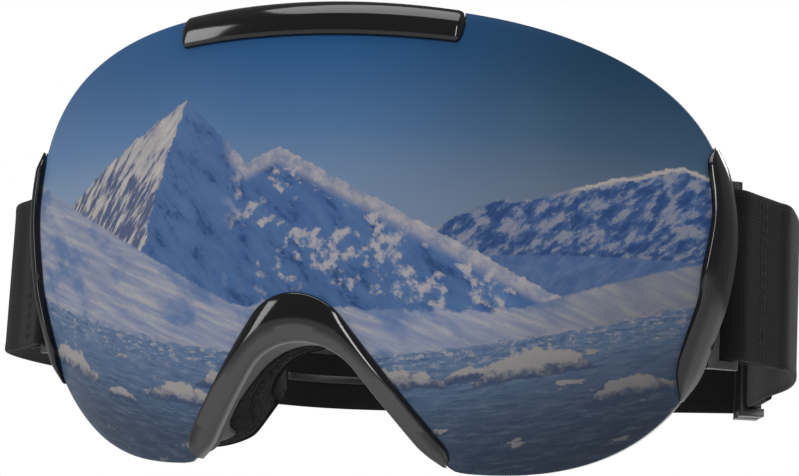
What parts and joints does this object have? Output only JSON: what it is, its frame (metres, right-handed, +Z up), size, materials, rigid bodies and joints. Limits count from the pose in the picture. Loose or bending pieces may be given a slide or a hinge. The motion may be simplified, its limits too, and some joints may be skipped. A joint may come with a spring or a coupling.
{
  "type": "ski goggles",
  "caption": "Frameless wraparound snow goggles: mirrored double lens, vented frame, layered face foam, hinged outriggers and an adjustable elastic head strap.",
  "frame": {"origin": "middle of the face opening, between the eyes, where the face fleece would meet the face's mean plane", "axes": "+Y back towards the head, -Y forward out of the lens, +Z up, +X the wearer's left"},
  "size_m": [0.2187, 0.2719, 0.1048],
  "materials": {
    "lens_mirror": "blue-grey mirror coating",
    "lens_clear": "clear, anti-fog coated",
    "frame": "soft satin",
    "trim": "high gloss",
    "bracket": "satin",
    "slider": "semi-gloss",
    "seal": "matte",
    "silicone": "soft sheen",
    "vent_foam": "open-cell foam",
    "face_foam": "open-cell foam",
    "fleece": "brushed fleece",
    "strap": "knitted elastic",
    "steel": "satin"
  },
  "bodies": {
    "goggles": {"frame_body": "frame", "lens_gasket": "seal", "outer_lens": "lens_mirror", "lens_spacer": "seal", "inner_lens": "lens_clear", "top_vent_foam": "vent_foam", "lower_vent_foam_left": "vent_foam", "lower_vent_foam_right": "vent_foam", "face_foam_firm": "face_foam", "face_foam_soft": "face_foam", "face_fleece": "fleece", "top_trim": "trim", "nose_trim": "trim", "side_trim_left": "trim", "side_trim_right": "trim", "trim_pegs": "frame", "hinge_bracket_left": "bracket", "hinge_bracket_right": "bracket", "hinge_pin_left": "steel", "hinge_pin_right": "steel", "bracket_screws": "steel", "strap_side_left": "strap", "strap_side_right": "strap", "strap_rear": "strap", "grip_strips": "silicone"},
    "left_outrigger": {"outrigger_left": "bracket", "strap_end_left": "strap"},
    "right_outrigger": {"outrigger_right": "bracket", "strap_end_right": "strap"},
    "left_slider": {"slider_left": "slider"},
    "right_slider": {"slider_right": "slider"}
  },
  "joints": [
    {"name": "left_outrigger_hinge", "type": "hinge", "parent": "goggles", "child": "left_outrigger", "pos_m": [0.08, -0.0055, -0.00135], "axis": [0, 0, 1], "range_deg": [-12, 20], "stiffness_Nm_per_rad": 0.03},
    {"name": "right_outrigger_hinge", "type": "hinge", "parent": "goggles", "child": "right_outrigger", "pos_m": [-0.08, -0.0055, -0.00135], "axis": [0, 0, -1], "range_deg": [-3, 24], "stiffness_Nm_per_rad": 0.03},
    {"name": "left_slider_slide", "type": "slide", "parent": "goggles", "child": "left_slider", "axis": [-0.2425, 0.9701, 0], "range_m": [-0.034, 0.004]},
    {"name": "right_slider_slide", "type": "slide", "parent": "goggles", "child": "right_slider", "axis": [0.1077, 0.9942, 0], "range_m": [-0.02, 0.016]}
  ]
}
